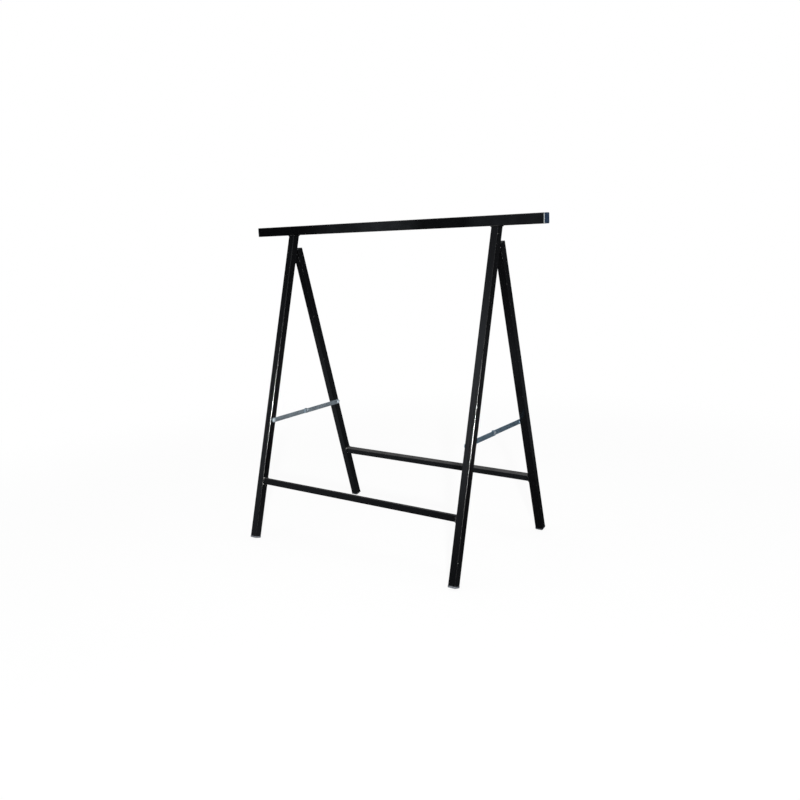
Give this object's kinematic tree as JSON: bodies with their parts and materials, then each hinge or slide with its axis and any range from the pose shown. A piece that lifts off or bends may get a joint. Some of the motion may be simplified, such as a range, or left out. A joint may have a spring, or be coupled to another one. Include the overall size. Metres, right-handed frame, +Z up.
{
  "type": "builders trestle",
  "caption": "Folding builders trestle of black painted square steel tube: a beam on a welded front frame, a hinged rear frame and zinc-plated folding stays.",
  "frame": {"origin": "on the floor, midway between the left and right feet and between the front and rear feet", "axes": "+X along the beam, +Y towards the hinged rear frame, +Z up"},
  "size_m": [1.1, 0.564, 1.022],
  "materials": {
    "frame_paint": "semi-gloss black enamel",
    "hinge_paint": "semi-gloss black enamel",
    "beam_cap": "moulded blue-grey plastic",
    "foot_plastic": "moulded black plastic",
    "zinc_strap": "bright zinc plate",
    "zinc_rivet": "bright zinc plate"
  },
  "bodies": {
    "front_frame": {"top_beam": "frame_paint", "beam_end_cap_left": "beam_cap", "beam_end_cap_right": "beam_cap", "front_leg_left": "frame_paint", "front_leg_right": "frame_paint", "front_crossbar": "frame_paint", "front_foot_cap_left": "foot_plastic", "front_foot_cap_right": "foot_plastic", "hinge_front_leaf_left": "hinge_paint", "hinge_front_leaf_right": "hinge_paint", "hinge_pin_left": "hinge_paint", "hinge_pin_right": "hinge_paint", "front_stay_rivet_left": "zinc_rivet", "front_stay_rivet_right": "zinc_rivet", "front_stay_spacer_left": "zinc_rivet", "front_stay_spacer_right": "zinc_rivet"},
    "rear_frame": {"rear_leg_left": "frame_paint", "rear_leg_right": "frame_paint", "rear_crossbar": "frame_paint", "rear_foot_cap_left": "foot_plastic", "rear_foot_cap_right": "foot_plastic", "rear_top_cap_left": "foot_plastic", "rear_top_cap_right": "foot_plastic", "hinge_rear_leaf_left": "hinge_paint", "hinge_rear_leaf_right": "hinge_paint"},
    "left_front_strap": {"front_strap_left": "zinc_strap", "knuckle_rivet_left": "zinc_rivet"},
    "left_rear_strap": {"rear_strap_left": "zinc_strap", "rear_stay_rivet_left": "zinc_rivet", "rear_stay_washer_left": "zinc_rivet"},
    "right_front_strap": {"front_strap_right": "zinc_strap", "knuckle_rivet_right": "zinc_rivet"},
    "right_rear_strap": {"rear_strap_right": "zinc_strap", "rear_stay_rivet_right": "zinc_rivet", "rear_stay_washer_right": "zinc_rivet"}
  },
  "joints": [
    {"name": "rear_frame_fold", "type": "hinge", "parent": "front_frame", "child": "rear_frame", "pos_m": [0, 0.02157, 0.92548], "axis": [-1, 0, 0], "range_deg": [0, 30.5]},
    {"name": "left_front_strap_turn", "type": "hinge", "parent": "front_frame", "child": "left_front_strap", "pos_m": [-0.3815, -0.15649, 0.386], "axis": [1, 0, 0], "range_deg": [0, 79.4]},
    {"name": "left_knuckle_turn", "type": "hinge", "parent": "left_front_strap", "child": "left_rear_strap", "pos_m": [-0.3815, 0.00881, 0.386], "axis": [-1, 0, 0], "range_deg": [0, 167.6]},
    {"name": "right_front_strap_turn", "type": "hinge", "parent": "front_frame", "child": "right_front_strap", "pos_m": [0.3815, -0.15649, 0.386], "axis": [1, 0, 0], "range_deg": [0, 79.4]},
    {"name": "right_knuckle_turn", "type": "hinge", "parent": "right_front_strap", "child": "right_rear_strap", "pos_m": [0.3815, 0.00881, 0.386], "axis": [-1, 0, 0], "range_deg": [0, 167.6]}
  ],
  "couplings": [
    {"joint": "left_front_strap_turn", "follows": "rear_frame_fold", "ratio": 2.6013},
    {"joint": "left_knuckle_turn", "follows": "rear_frame_fold", "ratio": 5.4941},
    {"joint": "right_front_strap_turn", "follows": "rear_frame_fold", "ratio": 2.6013},
    {"joint": "right_knuckle_turn", "follows": "rear_frame_fold", "ratio": 5.4941}
  ]
}
